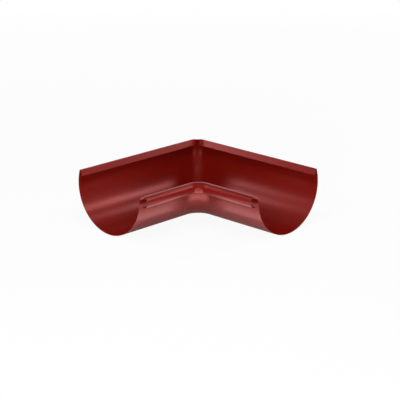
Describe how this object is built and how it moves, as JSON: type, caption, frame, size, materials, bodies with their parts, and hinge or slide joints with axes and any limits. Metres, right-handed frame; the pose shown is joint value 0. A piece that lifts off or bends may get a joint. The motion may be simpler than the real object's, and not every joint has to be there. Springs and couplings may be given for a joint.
{
  "type": "internal gutter angle",
  "caption": "Inside corner of a half-round eaves gutter: two short arms at a right angle, rolled front bead, slotted rear fold.",
  "frame": {"origin": "middle of the footprint, on the ground under the half-round", "axes": "one arm runs along +X and ends at +X, the other runs along -Y and ends at -Y; the channel is open towards +Z; the bead is on the inside of the corner"},
  "size_m": [0.286, 0.286, 0.0989],
  "materials": {
    "painted_steel": "semi-gloss coat"
  },
  "bodies": {
    "root": {"gutter_angle": "painted_steel"}
  },
  "joints": []
}
